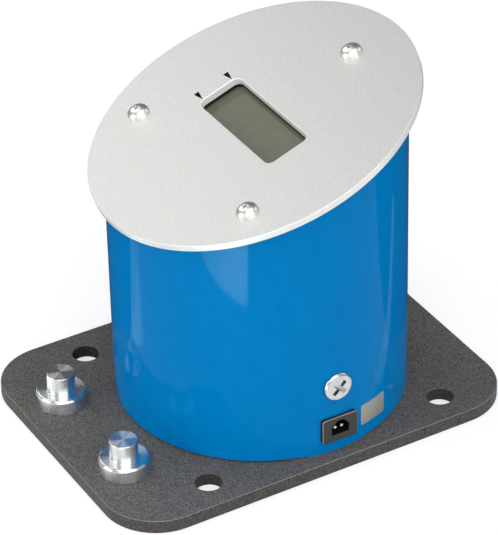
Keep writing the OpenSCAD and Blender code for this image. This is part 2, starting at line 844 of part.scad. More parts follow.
// The mouth of the inlet: square below, with two sloping shoulders above
module cavity_outline() {
    w = cavity_w / 2;
    h = cavity_h / 2;
    s = cavity_shoulder;
    polygon([[-w, -h], [w, -h], [w, h - s], [w - s, h], [s - w, h], [-w, h - s]]);
}

module power_inlet() {
    face_x = hood_r + inlet_proud;
    color("#3b3b3a") at_axis() translate([0, inlet_shift, inlet_z]) difference() {
        union() {
            difference() {
                hull() {
                    translate([inlet_body_x, -inlet_w / 2, -inlet_h / 2])
                        cube([face_x - inlet_bevel - inlet_body_x, inlet_w, inlet_h]);
                    translate([inlet_body_x, inlet_bevel - inlet_w / 2,
                        inlet_bevel - inlet_h / 2])
                        cube([face_x - inlet_body_x, inlet_w - 2 * inlet_bevel,
                            inlet_h - 2 * inlet_bevel]);
                }
                translate([0, -inlet_shift, -inlet_h])
                    cylinder(r = hood_r + seat_gap, h = 2 * inlet_h);
            }
            translate([inlet_body_x, -inlet_body_w / 2, -inlet_body_h / 2])
                cube([inlet_body_back + inlet_proud / 2, inlet_body_w, inlet_body_h]);
        }
        translate([face_x - cavity_depth, 0, cavity_rise]) rotate([90, 0, 90])
            linear_extrude(cavity_depth + overrun) cavity_outline();
        for (side = [-1, 1]) translate([inlet_body_x - overrun, side * contact_pitch / 2, 0])
            rotate([0, 90, 0]) cylinder(d = contact_d + 2 * seat_gap,
                h = inlet_body_back + 2 * overrun);
    }
}

// Two round pins that run from behind the mouth out of the back
module inlet_contacts() {
    color("#d9c48a") at_axis() for (side = [-1, 1])
        translate([inlet_body_x - contact_tail, inlet_shift + side * contact_pitch / 2,
            inlet_z]) rotate([0, 90, 0]) cylinder(d = contact_d, h = contact_tail
                + inlet_body_back + inlet_proud - contact_recess);
}

module power_lead() {
    color("#202020") at_axis() lead(power_route);
}

module gauge_lead() {
    color("#8a8d90") at_axis() lead(gauge_route);
}

// A thin foil label that follows the hood
module rating_label() {
    color("#9c9c98") at_axis() rotate([0, 0, label_turn]) intersection() {
        difference() {
            cylinder(r = hood_r + seat_gap + label_t, h = seat_h);
            translate([0, 0, -overrun]) cylinder(r = hood_r + seat_gap, h = seat_h + 2 * overrun);
        }
        translate([0, -label_w / 2, label_z - label_h / 2]) cube([hood_d, label_w, label_h]);
    }
}

base_plate();
left_adapter_post();
right_adapter_post();
post_screws();
bearing_block();
reaction_block();
block_screws();
measuring_flange();
flange_screws();
flange_washers();
measuring_neck();
strain_gauges();
gauge_terminal();
drive_hub();
hub_bush();
hood();
face_lugs();
hood_screws();
face_plate();
face_screws();
lcd_bezel();
lcd_front_glass();
lcd_rear_glass();
lcd_reflector();
contact_strips();
display_board();
board_spacers();
board_screws();
processor_chip();
amplifier_chips();
smoothing_capacitors();
voltage_regulator();
lead_headers();
power_inlet();
inlet_contacts();
power_lead();
gauge_lead();
rating_label();
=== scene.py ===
import json
import math

import bmesh
import bpy
from mathutils import Matrix, Vector


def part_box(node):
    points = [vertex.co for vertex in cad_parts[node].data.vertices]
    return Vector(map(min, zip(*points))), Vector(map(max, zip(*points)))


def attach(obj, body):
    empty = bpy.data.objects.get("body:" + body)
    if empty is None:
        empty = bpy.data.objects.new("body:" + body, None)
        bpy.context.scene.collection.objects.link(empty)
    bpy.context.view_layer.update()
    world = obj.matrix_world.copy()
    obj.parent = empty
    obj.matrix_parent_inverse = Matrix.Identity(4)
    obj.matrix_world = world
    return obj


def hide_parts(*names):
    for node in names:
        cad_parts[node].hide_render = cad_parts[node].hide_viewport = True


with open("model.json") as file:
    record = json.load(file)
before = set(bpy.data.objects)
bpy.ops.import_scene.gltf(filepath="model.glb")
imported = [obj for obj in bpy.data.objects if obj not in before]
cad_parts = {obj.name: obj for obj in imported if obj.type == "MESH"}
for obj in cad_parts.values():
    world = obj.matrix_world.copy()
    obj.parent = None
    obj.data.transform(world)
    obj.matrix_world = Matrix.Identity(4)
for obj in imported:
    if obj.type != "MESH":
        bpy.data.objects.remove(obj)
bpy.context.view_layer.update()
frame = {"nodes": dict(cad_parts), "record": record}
mm = 0.001

# The base plate is 6 mm mild steel, cut with round corners and drilled for four bench bolts.
# It is blasted and coated with a dark grey powder, which rounds its edges and leaves a fine,
# sandy surface. Countersunk screws come up through it from below.

# Every cutting tool runs past what it cuts by one overrun. Points that lie closer than the merging
# gap become one, edges that turn by more than the least turn are rounded where that is asked,
# and faces that meet at more than the crease angle keep a sharp edge between them.
over = 1 * mm
merge_gap = 0.001 * mm
least_turn = math.radians(30)
crease = math.radians(35)
# A finish changes between its two tones over this span of its noise, and specks of dust stand
# where a noise of finer grain nears its top.
tone_span = (0.3, 0.7)
dust_span = (0.68, 0.76)
dust_fineness = 1.7


def linear(code):
    """Turns an sRGB hex colour into the linear colour that a shader takes."""
    shares = [int(code[i:i + 2], 16) / 255 for i in (1, 3, 5)]
    return [s / 12.92 if s <= 0.04045 else ((s + 0.055) / 1.055) ** 2.4 for s in shares] + [1]


def add(material, kind, inputs=None, output=None, **settings):
    """Adds a node with its settings, values and links, and gives the output that is read next."""
    node = material.node_tree.nodes.new(kind)
    for name, value in settings.items():
        setattr(node, name, value)
    for name, value in (inputs or {}).items():
        socket = next(s for s in node.inputs if s.enabled and name in (s.name, s.identifier))
        if isinstance(value, bpy.types.NodeSocket):
            material.node_tree.links.new(value, socket)
        else:
            socket.default_value = value
    return node.outputs[output] if output else next((s for s in node.outputs if s.enabled), None)


def grained(name, codes, grain, depth, shader, stretch=(1, 1, 1), specks=None):
    """A finish of two tones in a grain of a real size and depth, which stretch draws out."""
    material = bpy.data.materials.new(name)
    material.use_nodes = True
    material.node_tree.nodes.clear()
    place = add(material, "ShaderNodeTexCoord", output="Object")
    scale = [1 / (grain * s) for s in stretch]
    place = add(material, "ShaderNodeMapping", {"Vector": place, "Scale": scale})
    noise = add(material, "ShaderNodeTexNoise", {"Vector": place, "Scale": 1, "Detail": 2})
    share = add(material, "ShaderNodeMapRange", {"Value": noise, "From Min": tone_span[0],
        "From Max": tone_span[1]})
    tone = add(material, "ShaderNodeMix", {"Factor": share, "A": linear(codes[0]),
        "B": linear(codes[1])}, data_type="RGBA")
    if specks:
        dust = add(material, "ShaderNodeTexNoise", {"Vector": place, "Scale": dust_fineness,
            "Detail": 0})
        share = add(material, "ShaderNodeMapRange", {"Value": dust, "From Min": dust_span[0],
            "From Max": dust_span[1]})
        tone = add(material, "ShaderNodeMix", {"Factor": share, "A": tone, "B": linear(specks)},
            data_type="RGBA")
    bump = add(material, "ShaderNodeBump", {"Height": noise, "Distance": depth})
    surface = add(material, "ShaderNodeBsdfPrincipled", {"Base Color": tone, "Normal": bump,
        **shader})
    add(material, "ShaderNodeOutputMaterial", {"Surface": surface})
    return material


def rectangle(width, height):
    """The corners of an upright rectangle round the origin."""
    return [(x * width / 2, y * height / 2) for x, y in ((-1, -1), (1, -1), (1, 1), (-1, 1))]


def prism(outline, low, high, corner=0.0):
    """Extrudes a flat outline from one height to another, with its corners rounded if asked."""
    shape = bmesh.new()
    shape.faces.new([shape.verts.new((x, y, low)) for x, y in outline])
    if corner:
        bmesh.ops.bevel(shape, geom=shape.verts[:], offset=corner, segments=16, profile=0.5,
            affect="VERTICES", material=-1)
    raised = bmesh.ops.extrude_face_region(shape, geom=shape.faces[:])["geom"]
    upper = [v for v in raised if isinstance(v, bmesh.types.BMVert)]
    bmesh.ops.translate(shape, vec=(0, 0, high - low), verts=upper)
    bmesh.ops.recalc_face_normals(shape, faces=shape.faces)
    return shape


def lathe(profile, steps=96):
    """Turns a profile of (radius, height) points about Z into a closed shape."""
    shape = bmesh.new()
    points = [shape.verts.new((r, 0, z)) for r, z in profile]
    edges = [shape.edges.new(pair) for pair in zip(points, points[1:])]
    bmesh.ops.spin(shape, geom=points + edges, cent=(0, 0, 0), axis=(0, 0, 1), angle=math.tau,
        steps=steps, use_merge=True)
    bmesh.ops.remove_doubles(shape, verts=shape.verts, dist=merge_gap)
    bmesh.ops.recalc_face_normals(shape, faces=shape.faces)
    return shape


def placed(shape, matrix):
    """Moves a shape to its place."""
    bmesh.ops.transform(shape, matrix=matrix, verts=shape.verts)
    return shape


def round_edges(shape, width):
    """Rounds every edge that turns by more than the least turn."""
    sharp = [e for e in shape.edges if e.is_manifold and e.calc_face_angle() > least_turn]
    bmesh.ops.bevel(shape, geom=sharp, offset=width, segments=3, profile=0.5, affect="EDGES",
        material=-1)


def combine(shape, other, operation="DIFFERENCE"):
    """Cuts a closed shape out of another, or joins them, and returns what is left."""
    blanks = []
    for each in (shape, other):
        mesh = bpy.data.meshes.new("blank")
        each.to_mesh(mesh)
        each.free()
        blanks.append(bpy.data.objects.new("blank", mesh))
        bpy.context.scene.collection.objects.link(blanks[-1])
    cut = blanks[0].modifiers.new("cut", "BOOLEAN")
    cut.operation = operation
    cut.solver = "EXACT"
    cut.object = blanks[1]
    result = bmesh.new()
    result.from_object(blanks[0], bpy.context.evaluated_depsgraph_get())
    for blank in blanks:
        bpy.data.objects.remove(blank)
    return result


def hole_cutter(radius, low, high, flare):
    """The tool for a round hole whose two edges are broken by a flare."""
    wide = radius + flare + over
    return lathe([(0, low - over), (wide, low - over), (radius, low + flare),
        (radius, high - flare), (wide, high + over), (0, high + over)], steps=48)


def piece(name, shape, materials, nodes):
    """Makes a shape a piece of the tester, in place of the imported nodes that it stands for."""
    mesh = bpy.data.meshes.new(name)
    for face in shape.faces:
        face.smooth = True
    shape.to_mesh(mesh)
    shape.free()
    mesh.set_sharp_from_angle(angle=crease)
    for material in materials:
        mesh.materials.append(material)
    obj = bpy.data.objects.new(name, mesh)
    bpy.context.scene.collection.objects.link(obj)
    flat = obj.modifiers.new("flat_faces_shade_flat", "WEIGHTED_NORMAL")
    flat.keep_sharp = True
    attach(obj, "tester")
    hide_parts(*nodes)


def corners_of(node, inset):
    """The centres of four like round shapes that stand at the corners of a node's box."""
    low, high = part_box(node)
    rows = (low.y + inset, high.y - inset)
    return [(x, y) for x in (low.x + inset, high.x - inset) for y in rows]


# Powder coat: matt polyester with a sandy grit and a few pale specks. The real grit of 0.2 mm is
# too fine to show, so it is drawn four times as coarse.
powder_coat = grained("powder_coat", ("#444240", "#6b6865"), grain=0.8 * mm, depth=0.12 * mm,
    shader={"Roughness": 0.55, "IOR": 1.35}, specks="#8d8b86")
# Painted highlight: the plate's rounded upper edge is painted pale and is a little smoother.
highlight_edge_coat = grained("highlight_edge_coat", ("#5c5c58", "#8b8b86"), grain=0.7 * mm, depth=0.1 * mm,
    shader={"Roughness": 0.4})
# Painted shade: the plate's cut sides are painted a little darker than its top, as shade.
shaded_side_coat = grained("shaded_side_coat", ("#383634", "#5f5c59"), grain=0.8 * mm, depth=0.12 * mm,
    shader={"Roughness": 0.55, "IOR": 1.35})
# Painted shade: the walls of the bench holes are painted dark, as the shade inside them.
shaded_hole_coat = grained("shaded_hole_coat", ("#2a2826", "#464340"), grain=0.8 * mm, depth=0.1 * mm,
    shader={"Roughness": 0.6, "IOR": 1.35})

plate_low, plate_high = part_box("base_plate")
plate_corner = 23.5 * mm
plate_edge = 0.6 * mm
hole_edge = 0.4 * mm
block_screw_r = 8 * mm
post_screw_r = 5 * mm
screw_gap = 0.1 * mm
# A face belongs to a bench hole within a reach of its middle. It is on a side where its normal
# rises less than the first share, and on the flat top where it rises more than the second.
hole_reach = 8 * mm
side_rise = 0.3
top_rise = 0.95
bench = next(m for m in frame["record"]["mounts"] if m["name"] == "bench_bolts")
bench_x = bench["dims"]["spacing_x_mm"] * mm / 2
bench_y = bench["dims"]["spacing_y_mm"] * mm / 2
hood_axis_y = bench["pos_m"][1]

plate = prism(rectangle(plate_high.x - plate_low.x, plate_high.y - plate_low.y), plate_low.z,
    plate_high.z, plate_corner)
round_edges(plate, plate_edge)
bench_places = [(x, y) for x in (-bench_x, bench_x)
    for y in (hood_axis_y - bench_y, hood_axis_y + bench_y)]
for x, y in bench_places:
    hole = hole_cutter(bench["dims"]["hole_r_mm"] * mm, plate_low.z, plate_high.z, hole_edge)
    plate = combine(plate, placed(hole, Matrix.Translation((x, y, 0))))
# Where a node's screws stand in one row, its places come twice, so they are made a set.
for node, head_r in (("block_screws", block_screw_r), ("post_screws", post_screw_r)):
    for x, y in set(corners_of(node, head_r)):
        wide = head_r + screw_gap
        narrow = head_r / 2 + screw_gap
        sink = lathe([(0, plate_low.z - over), (wide, plate_low.z - over), (wide, plate_low.z),
            (narrow, head_r / 2), (narrow, plate_high.z + over), (0, plate_high.z + over)],
            steps=48)
        plate = combine(plate, placed(sink, Matrix.Translation((x, y, 0))))
coats = [powder_coat, highlight_edge_coat, shaded_side_coat, shaded_hole_coat]
for part in plate.faces:
    middle = part.calc_center_median().xy
    at_hole = any((middle - Vector(place)).length < hole_reach for place in bench_places)
    coat = powder_coat
    # Cut sides and hole walls are painted darker, as shade.
    if abs(part.normal.z) < side_rise:
        coat = shaded_hole_coat if at_hole else shaded_side_coat
    # The upward rounding of the top edge is painted paler, as a highlight.
    elif side_rise < part.normal.z < top_rise and not at_hole:
        coat = highlight_edge_coat
    part.material_index = coats.index(coat)
piece("coated_plate", plate, coats, ["base_plate"])

# The two adapter posts are turned from aluminium bar, with a wide foot and a peg on it, and are
# left bright. The tool leaves fine rings, so light spreads across them in bands.
cloud_size = 1.5 * mm
quarter_turn = 0.25


def turned(name, codes, roughness, anisotropy):
    """A turned metal, whose rings about its piece's own upright axis draw a highlight out."""
    material = bpy.data.materials.new(name)
    material.use_nodes = True
    material.node_tree.nodes.clear()
    across = add(material, "ShaderNodeTangent", direction_type="RADIAL", axis="Z")
    place = add(material, "ShaderNodeTexCoord", output="Object")
    noise = add(material, "ShaderNodeTexNoise", {"Vector": place, "Scale": 1 / cloud_size,
        "Detail": 3})
    tone = add(material, "ShaderNodeMix", {"Factor": noise, "A": linear(codes[0]),
        "B": linear(codes[1])}, data_type="RGBA")
    surface = add(material, "ShaderNodeBsdfPrincipled", {"Base Color": tone, "Metallic": 1,
        "Roughness": roughness, "Anisotropic": anisotropy, "Anisotropic Rotation": quarter_turn,
        "Tangent": across})
    add(material, "ShaderNodeOutputMaterial", {"Surface": surface})
    return material


# Turned aluminium: bright, with a highlight that is drawn out across the tool's rings.
turned_aluminium = turned("turned_aluminium", ("#dfe1e2", "#eff0f0"), roughness=0.24,
    anisotropy=1)

foot_h = 6.5 * mm
peg_r = 5.75 * mm
post_edge = 0.3 * mm
foot_chamfer = 0.8 * mm
thread_r = 2.55 * mm
thread_top = 10 * mm
for node in ("left_adapter_post", "right_adapter_post"):
    low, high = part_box(node)
    foot_r = (high.x - low.x) / 2
    post = lathe([(0, low.z + thread_top), (thread_r, low.z + thread_top), (thread_r, low.z),
        (foot_r, low.z), (foot_r, low.z + foot_h - foot_chamfer),
        (foot_r - foot_chamfer, low.z + foot_h), (peg_r, low.z + foot_h), (peg_r, high.z),
        (0, high.z)], steps=128)
    round_edges(post, post_edge)
    centre = (low + high) / 2
    placed(post, Matrix.Translation((centre.x, centre.y, 0)))
    piece("turned_" + node, post, [turned_aluminium], [node])

# Countersunk machine screws hold the posts and the two steel blocks from below. They are zinc
# plated steel, so they are pale grey with a faint bluish cast.


def dress(node, material):
    """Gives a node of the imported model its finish."""
    mesh = frame["nodes"][node].data
    mesh.materials.clear()
    mesh.materials.append(material)


# Zinc plating: a thin bright layer that is a little cloudy.
zinc_plate = grained("zinc_plate", ("#c3c7c9", "#d9dbdc"), grain=2 * mm, depth=0.01 * mm,
    shader={"Metallic": 1, "Roughness": 0.22})
dress("post_screws", zinc_plate)
dress("block_screws", zinc_plate)

# Two machined steel blocks carry the measuring shaft. They are milled flat, turned at the back
# to fit the hood, and oiled, so they are dark grey with fine lines from the cutter.

# Milled steel: the cutter's lines run front to back, about a third of a millimetre apart.
milled_steel = grained("milled_steel", ("#53575c", "#7b8086"), grain=0.35 * mm, depth=0.01 * mm,
    shader={"Metallic": 1, "Roughness": 0.38}, stretch=(1, 40, 1))
dress("bearing_block", milled_steel)
dress("reaction_block", milled_steel)

# The measuring shaft is ground alloy steel: the hub with its broached square, the neck that
# twists under load, and the flange that four screws and washers hold to the right block.

# Ground steel: fine scratches round the shaft, which lies along X.
ground_steel = grained("ground_steel", ("#8d9196", "#b9bcbf"), grain=0.3 * mm, depth=0.006 * mm,
    shader={"Metallic": 1, "Roughness": 0.26}, stretch=(1, 12, 12))
# Black oxide: a thin black skin with a slight oily sheen.
black_oxide = grained("black_oxide", ("#1d1d1f", "#333335"), grain=0.6 * mm, depth=0.01 * mm,
    shader={"Metallic": 0.6, "Roughness": 0.42})
for node in ("drive_hub", "measuring_neck", "measuring_flange"):
    dress(node, ground_steel)
dress("flange_screws", black_oxide)
dress("flange_washers", zinc_plate)

# The hub turns in a plain bush, which keeps a wrench's side load off the neck. It is turned from
# bronze and pressed into the left block.

# Bearing bronze: warm and dull, with rings from turning.
bearing_bronze = grained("bearing_bronze", ("#8d6136", "#b98a4e"), grain=0.3 * mm,
    depth=0.008 * mm, shader={"Metallic": 1, "Roughness": 0.35}, stretch=(1, 12, 12))
dress("hub_bush", bearing_bronze)

# Four strain gauges, foil grids on amber film, are bonded round the neck with hard glue. Their
# wires end on a small solder board over the top one.

# Gauge film: amber polyimide over a fine metal grid.
gauge_film = grained("gauge_film", ("#8a4a12", "#c88a3a"), grain=0.4 * mm, depth=0.01 * mm,
    shader={"Roughness": 0.25, "Coat Weight": 0.6}, stretch=(10, 1, 1))
# Solder resist: glossy green lacquer over copper tracks.
solder_resist = grained("solder_resist", ("#0f4020", "#1f6a38"), grain=1.6 * mm, depth=0.02 * mm,
    shader={"Roughness": 0.3, "Coat Weight": 0.5})
dress("strain_gauges", gauge_film)
dress("gauge_terminal", solder_resist)

# The hood is a round steel tube with a 2 mm wall, cut off at a slope for the face, with a short
# tongue that reaches the plate under the power inlet. It is stove enamelled in gloss blue, with
# openings for the drive on the left, the inlet on the right and one screw on each side.

# Stove enamel: a hard gloss coat with the faint waviness of sprayed paint. It reflects little
# face on and more at a slant, so the blue stays deep.
blue_enamel = grained("blue_enamel", ("#007fc7", "#0084cd"), grain=6 * mm, depth=0.01 * mm,
    shader={"Roughness": 0.07, "IOR": 1.1})

hood_low, hood_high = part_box("hood")
face_low, face_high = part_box("face_plate")
hood_r = (hood_high.x - hood_low.x) / 2
hood_wall = 2 * mm
rim_z = plate_high.z + 0.8 * mm
shaft_z = plate_high.z + 31 * mm
left_screw_z = plate_high.z + 62 * mm
screw_hole_r = 3.3 * mm
drive_opening_r = 21 * mm
tongue_half = 12.3 * mm
tongue_flank = 2.2 * mm
inlet_z = plate_high.z + 11.1 * mm
inlet_shift = 0.5 * mm
inlet_cut = (13.5 * mm, 10.1 * mm)
face_tilt = math.radians(19.8)
face_t = 3 * mm
hood_axis = Matrix.Translation((0, hood_axis_y, 0))
sideways = hood_axis @ Matrix.Rotation(math.pi / 2, 4, "Z") @ Matrix.Rotation(math.pi / 2, 4, "X")
face_up = Vector((0, -math.sin(face_tilt), math.cos(face_tilt)))
seat = (face_low + face_high) / 2 - face_up * face_t / 2
face_place = Matrix.Translation(seat) @ Matrix.Rotation(face_tilt, 4, "X")

hood = lathe([(hood_r - hood_wall, plate_high.z), (hood_r, plate_high.z), (hood_r, 2 * seat.z),
    (hood_r - hood_wall, 2 * seat.z), (hood_r - hood_wall, plate_high.z)], steps=192)
placed(hood, hood_axis)
whole = hood.verts[:] + hood.edges[:] + hood.faces[:]
sloped = bmesh.ops.bisect_plane(hood, geom=whole, plane_co=seat, plane_no=face_up,
    clear_outer=True)
open_edges = [e for e in sloped["geom_cut"] if isinstance(e, bmesh.types.BMEdge)]
bmesh.ops.bridge_loops(hood, edges=open_edges)
# Rings of edges divide the wall near its openings, so that no face there is long and thin.
ring_heights = (plate_high.z + 2 * mm, inlet_z + 8 * mm, shaft_z - 26 * mm, left_screw_z + 6 * mm)
for height in ring_heights:
    whole = hood.verts[:] + hood.edges[:] + hood.faces[:]
    bmesh.ops.bisect_plane(hood, geom=whole, plane_co=(0, 0, height), plane_no=(0, 0, 1))
bmesh.ops.recalc_face_normals(hood, faces=hood.faces)

# The wall stops a little above the plate all round, apart from the tongue on the right.
reach = 2 * hood_r
gap = prism([(-reach, hood_axis_y - reach), (0, hood_axis_y - reach), (0, hood_axis_y + reach),
    (-reach, hood_axis_y + reach)], plate_high.z - over, rim_z)
hood = combine(hood, gap)
for side in (-1, 1):
    outline = [(tongue_half, plate_high.z - over), (tongue_half, plate_high.z),
        (tongue_half + tongue_flank, rim_z), (reach, rim_z), (reach, plate_high.z - over)]
    gap = prism([(side * y, z) for y, z in outline], -over, reach)
    hood = combine(hood, placed(gap, sideways))
inlet_place = Matrix.Translation((0, inlet_shift, inlet_z)) @ sideways
hood = combine(hood, placed(prism(rectangle(*inlet_cut), 0, reach), inlet_place))
# The right screw's hole, the opening for the drive and the left screw's hole.
for radius, height, start, end in ((screw_hole_r, shaft_z, 0, reach),
        (drive_opening_r, shaft_z, -reach, 0), (screw_hole_r, left_screw_z, -reach, 0)):
    bore = lathe([(0, start), (radius, start), (radius, end), (0, end)], steps=96)
    hood = combine(hood, placed(bore, Matrix.Translation((0, 0, height)) @ sideways))
piece("enamelled_hood", hood, [blue_enamel], ["hood"])

# Three tapped steel lugs take the screws of the face plate. They are welded inside the hood's rim
# and painted with it.
dress("face_lugs", blue_enamel)

# One large pan-head screw on each side holds the hood to a block. Both are zinc plated steel, with
# a cross recess that tapers towards its bottom.

# The bottom of a recess's arm keeps these shares of its length, width and height.
recess_taper = (0.55, 0.7, 1)


def pan_screw(head_r, head_h, flat_r, side_h, shank_r, shank_l):
    """A pan-head screw upright on z = 0: its flat middle rounds over into a low side wall."""
    turns = [math.radians(a) for a in range(0, 91, 10)]
    curve = [(flat_r + (head_r - flat_r) * math.sin(t), side_h + (head_h - side_h) * math.cos(t))
        for t in turns]
    return lathe([(0, head_h), *curve, (head_r, 0), (shank_r, 0), (shank_r, -shank_l),
        (0, -shank_l)], steps=64)


def cross_recess(screw, head_h, length, width, depth, turn):
    """Presses a cross recess into a screw's head, its arms tapering down to the middle."""
    for angle in (turn, turn + math.pi / 2):
        arm = prism(rectangle(length, width), head_h - depth, head_h + over)
        foot = [v for v in arm.verts if v.co.z < head_h]
        bmesh.ops.scale(arm, vec=recess_taper, verts=foot)
        screw = combine(screw, placed(arm, Matrix.Rotation(angle, 4, "Z")))
    return screw


hood_head_r = 6.3 * mm
hood_head_h = 2 * mm
for name, side, screw_z, nodes in (("right_hood_screw", 1, shaft_z, ["hood_screws"]),
        ("left_hood_screw", -1, left_screw_z, [])):
    screw = pan_screw(hood_head_r, hood_head_h, flat_r=4.6 * mm, side_h=0.6 * mm,
        shank_r=3 * mm, shank_l=15 * mm)
    screw = cross_recess(screw, hood_head_h, length=8.4 * mm, width=2 * mm, depth=2.6 * mm,
        turn=math.radians(45))
    place = Matrix.Translation((side * hood_r, hood_axis_y, screw_z))
    placed(screw, place @ Matrix.Rotation(side * math.pi / 2, 4, "Y"))
    piece(name, screw, [zinc_plate], nodes)

# The power inlet is moulded in dark plastic: a framed mouth with two sloping shoulders in front,
# and a body that goes through the hood. Two plated pins stand in it.

# Moulded nylon: nearly black brown, with a soft sheen and a fine spark-eroded texture.
moulded_nylon = grained("moulded_nylon", ("#1f1c19", "#2a2723"), grain=0.3 * mm, depth=0.015 * mm,
    shader={"Roughness": 0.35})
# Painted shade: the walls and floor of the mouth are painted near black, as the shade in it.
shaded_cavity_nylon = grained("shaded_cavity_nylon", ("#060606", "#0c0c0c"), grain=0.3 * mm, depth=0.01 * mm,
    shader={"Roughness": 0.5})
# Painted highlight: the frame's rounded edge is painted pale and smoother, as the light it
# catches.
highlight_edge_nylon = grained("highlight_edge_nylon", ("#86827b", "#98948d"), grain=0.3 * mm,
    depth=0.004 * mm, shader={"Roughness": 0.2})
# Nickel-plated brass: pale and slightly warm.
contact_nickel = grained("contact_nickel", ("#c9c3b2", "#e4e0d2"), grain=0.8 * mm,
    depth=0.004 * mm, shader={"Metallic": 1, "Roughness": 0.2})

inlet_low, inlet_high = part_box("power_inlet")
inlet_h = 11.4 * mm
inlet_w = 16 * mm
inlet_body = (13 * mm, 9.6 * mm)
inlet_corner = 1.4 * mm
inlet_edge = 0.45 * mm
cavity_depth = 6.5 * mm
half_w = 4 * mm
half_h = 3.2 * mm
shoulder = 2.6 * mm
mouth_rise = 0.8 * mm
# A face is on the frame's rounding where its normal points outwards by between these shares.
edge_lean = (0.2, 0.95)
touch = 0.01 * mm
inlet = placed(prism(rectangle(inlet_w, inlet_h), inlet_low.x, inlet_high.x, inlet_corner),
    inlet_place)
round_edges(inlet, inlet_edge)
hood_body = lathe([(0, 0), (hood_r, 0), (hood_r, 2 * inlet_z), (0, 2 * inlet_z)], steps=192)
inlet = combine(inlet, placed(hood_body, hood_axis))
inlet = combine(inlet, placed(prism(rectangle(*inlet_body), inlet_low.x, inlet_high.x - over),
    inlet_place), "UNION")
mouth = [(-half_w, -half_h), (half_w, -half_h), (half_w, half_h - shoulder),
    (half_w - shoulder, half_h), (shoulder - half_w, half_h), (-half_w, half_h - shoulder)]
inlet = combine(inlet, placed(prism([(y, z + mouth_rise) for y, z in mouth],
    inlet_high.x - cavity_depth, inlet_high.x + over), inlet_place))
nylons = [moulded_nylon, shaded_cavity_nylon, highlight_edge_nylon]
for part in inlet.faces:
    centre = part.calc_center_median()
    in_width = abs(centre.y - hood_axis_y - inlet_shift) < half_w + touch
    in_height = abs(centre.z - inlet_z - mouth_rise) < half_h + touch
    nylon = moulded_nylon
    # The mouth's walls and floor are painted near black, as shade.
    if in_width and in_height and centre.x < inlet_high.x - touch:
        nylon = shaded_cavity_nylon
    # The frame's outward rounding is painted pale, as a highlight.
    elif edge_lean[0] < part.normal.x < edge_lean[1] and centre.x > hood_r:
        nylon = highlight_edge_nylon
    part.material_index = nylons.index(nylon)
piece("moulded_inlet", inlet, nylons, ["power_inlet"])
dress("inlet_contacts", contact_nickel)

# The rating label is a small self-adhesive foil on the hood beside the inlet. It is stamped with
# round corners, bends round with the wall and is left bare.

# Label foil: brushed aluminium film under a matt lacquer.
label_foil = grained("label_foil", ("#a5a49d", "#bab9b2"), grain=0.25 * mm, depth=0.005 * mm,
    shader={"Metallic": 0.5, "Roughness": 0.45}, stretch=(1, 8, 1))
label_low, label_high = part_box("rating_label")
label_t = 0.15 * mm
label_gap = 0.02 * mm
label_size = (14 * mm, label_high.z - label_low.z)
label_corner = 0.9 * mm
label_turn = math.radians(17.9)
label_back = hood_r + label_gap
label_front = label_back + label_t
label_lift = Matrix.Translation((0, 0, (label_low.z + label_high.z) / 2))
label_place = hood_axis @ Matrix.Rotation(label_turn, 4, "Z") @ hood_axis.inverted() @ label_lift
sleeve = lathe([(label_back, label_low.z), (label_front, label_low.z),
    (label_front, label_high.z), (label_back, label_high.z), (label_back, label_low.z)],
    steps=256)
label = prism(rectangle(*label_size), hood_r / 2, reach, label_corner)
placed(label, label_place @ sideways)
label = combine(placed(sleeve, hood_axis), label, "INTERSECT")
piece("foil_label", label, [label_foil], ["rating_label"])

# The face plate is an ellipse of 3 mm aluminium, satin anodised in front, its milled edges painted
# near white as a highlight. The display window and three screw holes are milled through it.

# Satin anodised aluminium: an even, fine matt grain that hides the metal's lines.
satin_anodised = grained("satin_anodised", ("#d8d8d6", "#e3e3e1"), grain=0.8 * mm,
    depth=0.004 * mm, shader={"Metallic": 1, "Roughness": 0.5})
# Milled edge: bare aluminium with lines along the cut. It is painted nearly white and barely
# metallic, as a painted highlight, so that it stays nearly white from every side.
bare_edge_and_highlight = grained("bare_edge_and_highlight", ("#eeeeed", "#f8f8f7"), grain=0.4 * mm, depth=0.004 * mm,
    shader={"Metallic": 0.15, "Roughness": 0.35})
face_slope_share = 1.057
face_half = (face_high.x - face_low.x) / 2
face_edge = 0.3 * mm
window = (54.4 * mm, 19.4 * mm)
window_centre = (0.1 * mm, -0.15 * mm)
window_corner = 3 * mm
window_edge = 0.3 * mm
# The window's rim is the sharp edges in the front that lie within this reach of the window. The
# metal is bare, with a painted highlight, where a face's normal rises less than the share.
rim_reach = 0.1 * mm
rim_turn = math.radians(60)
face_rise = 0.93
face_hole_r = 2.75 * mm
face_hole_edge = 0.2 * mm
face_screw_places = [(-42.8 * mm, -29.5 * mm), (42.8 * mm, -29.5 * mm), (0, 47.9 * mm)]
face = bmesh.new()
bmesh.ops.create_circle(face, cap_ends=True, segments=192, radius=face_half)
bmesh.ops.scale(face, vec=(1, face_slope_share, 1), verts=face.verts)
raised = bmesh.ops.extrude_face_region(face, geom=face.faces[:])["geom"]
upper = [v for v in raised if isinstance(v, bmesh.types.BMVert)]
bmesh.ops.translate(face, vec=(0, 0, face_t), verts=upper)
bmesh.ops.recalc_face_normals(face, faces=face.faces)
round_edges(face, face_edge)
opening = prism(rectangle(*window), -over, face_t + over, window_corner)
face = combine(face, placed(opening, Matrix.Translation((*window_centre, 0))))
rim = [e for e in face.edges if e.calc_face_angle(0) > rim_turn
    and all(abs(v.co.z - face_t) < touch
    and abs(v.co.x - window_centre[0]) < window[0] / 2 + rim_reach
    and abs(v.co.y - window_centre[1]) < window[1] / 2 + rim_reach for v in e.verts)]
bmesh.ops.bevel(face, geom=rim, offset=window_edge, segments=1, profile=0.5, affect="EDGES",
    material=-1)
for x, y in face_screw_places:
    hole = hole_cutter(face_hole_r, 0, face_t, face_hole_edge)
    face = combine(face, placed(hole, Matrix.Translation((x, y, 0))))
metals = [satin_anodised, bare_edge_and_highlight]
